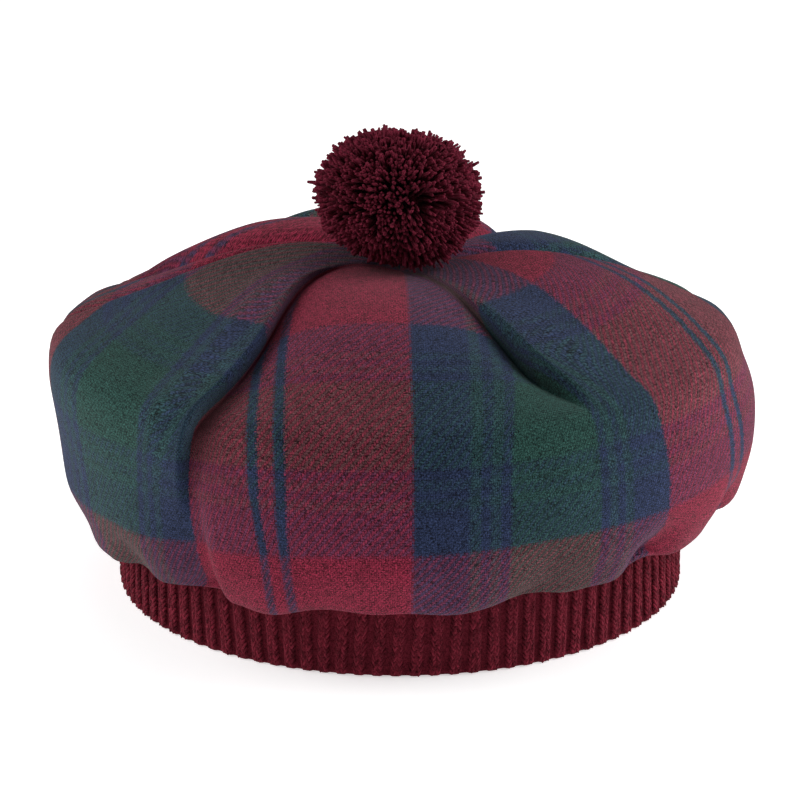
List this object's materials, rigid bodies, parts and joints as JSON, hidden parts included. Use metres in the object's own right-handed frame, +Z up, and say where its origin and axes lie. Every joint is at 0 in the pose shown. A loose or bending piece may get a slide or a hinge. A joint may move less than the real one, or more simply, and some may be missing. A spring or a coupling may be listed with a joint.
{
  "type": "tam o' shanter",
  "caption": "Soft round cloth bonnet gathered into pleats under a yarn pompom, drooping over a ribbed knitted headband.",
  "frame": {"origin": "centre of the headband's edge, on the surface that the hat rests on", "axes": "+Z up through the pompom, -Y to the hat's front, +X to the right of someone looking at the front"},
  "size_m": [0.2277, 0.226, 0.1501],
  "materials": {
    "tartan_cloth": "brushed twill wool tartan in crimson, navy and green",
    "rib_knit": "burgundy rib knit wool, matte",
    "pompom_yarn": "cut ends of dark burgundy wool yarn, matte"
  },
  "bodies": {
    "root": {"crown": "tartan_cloth", "band": "rib_knit", "pompom": "pompom_yarn"}
  },
  "joints": []
}
